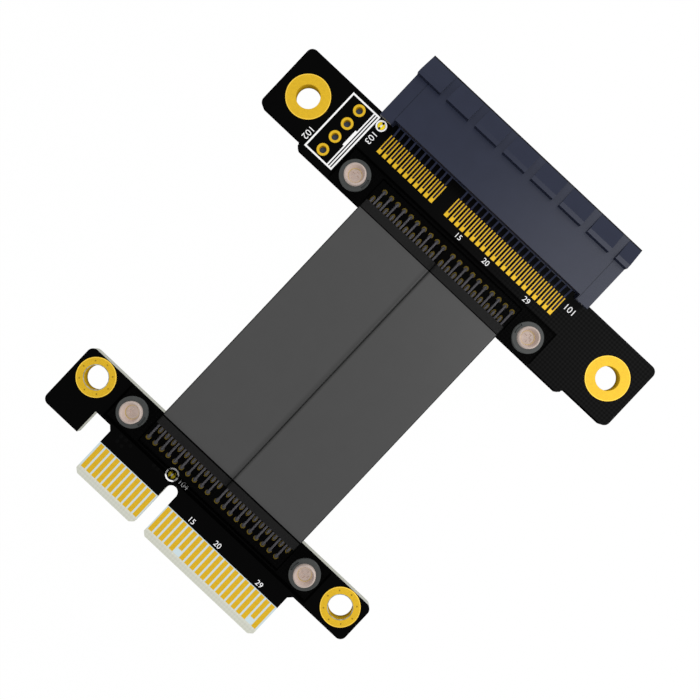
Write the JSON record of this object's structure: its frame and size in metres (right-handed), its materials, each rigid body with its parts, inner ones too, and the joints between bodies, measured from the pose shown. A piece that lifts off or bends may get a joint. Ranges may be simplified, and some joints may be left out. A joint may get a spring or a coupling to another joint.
{
  "type": "pcie riser card",
  "caption": "Flat-cable riser: a board with an x4 expansion slot and a card-edge board joined by two ribbon cables under clear clamp covers.",
  "frame": {"origin": "centre of the bounding box in plan, on the plane of the slot housing's lowest face", "axes": "+Y from the card edge towards the slot's mouth, +Z out of the faces that carry the clamp covers, +X along the boards with the header on the -X side"},
  "size_m": [0.067, 0.0766, 0.0097],
  "materials": {
    "board_laminate": "black solder mask on glass-fibre laminate",
    "slot_plastic": "moulded slate-grey connector plastic",
    "contact_metal": "dull tinned spring contacts",
    "gold_plating": "immersion gold on copper",
    "solder": "bright reflowed solder",
    "legend_ink": "white screen print",
    "cable_jacket": "dark grey satin cable jacket",
    "tinned_wire": "tinned copper",
    "smoked_cover": "smoked clear plastic",
    "collar_plastic": "grey moulded plastic",
    "nickel_steel": "nickel-plated steel"
  },
  "bodies": {
    "root": {"socket_board": "board_laminate", "plug_board": "board_laminate", "slot_housing": "slot_plastic", "slot_contacts_upper": "contact_metal", "slot_contacts_lower": "contact_metal", "socket_pads_upper": "gold_plating", "socket_pads_lower": "gold_plating", "card_fingers_upper": "gold_plating", "card_fingers_lower": "gold_plating", "socket_hole_plating": "gold_plating", "plug_hole_plating": "gold_plating", "header_hole_plating": "gold_plating", "header_hole_solder": "solder", "header_legend": "legend_ink", "socket_test_pad": "gold_plating", "plug_test_pad": "gold_plating", "ribbon_jacket_left": "cable_jacket", "ribbon_jacket_right": "cable_jacket", "socket_wire_ends": "tinned_wire", "plug_wire_ends": "tinned_wire", "socket_cover": "smoked_cover", "plug_cover": "smoked_cover", "cover_collars": "collar_plastic", "cover_screws": "nickel_steel", "cover_nuts": "nickel_steel"}
  },
  "joints": []
}
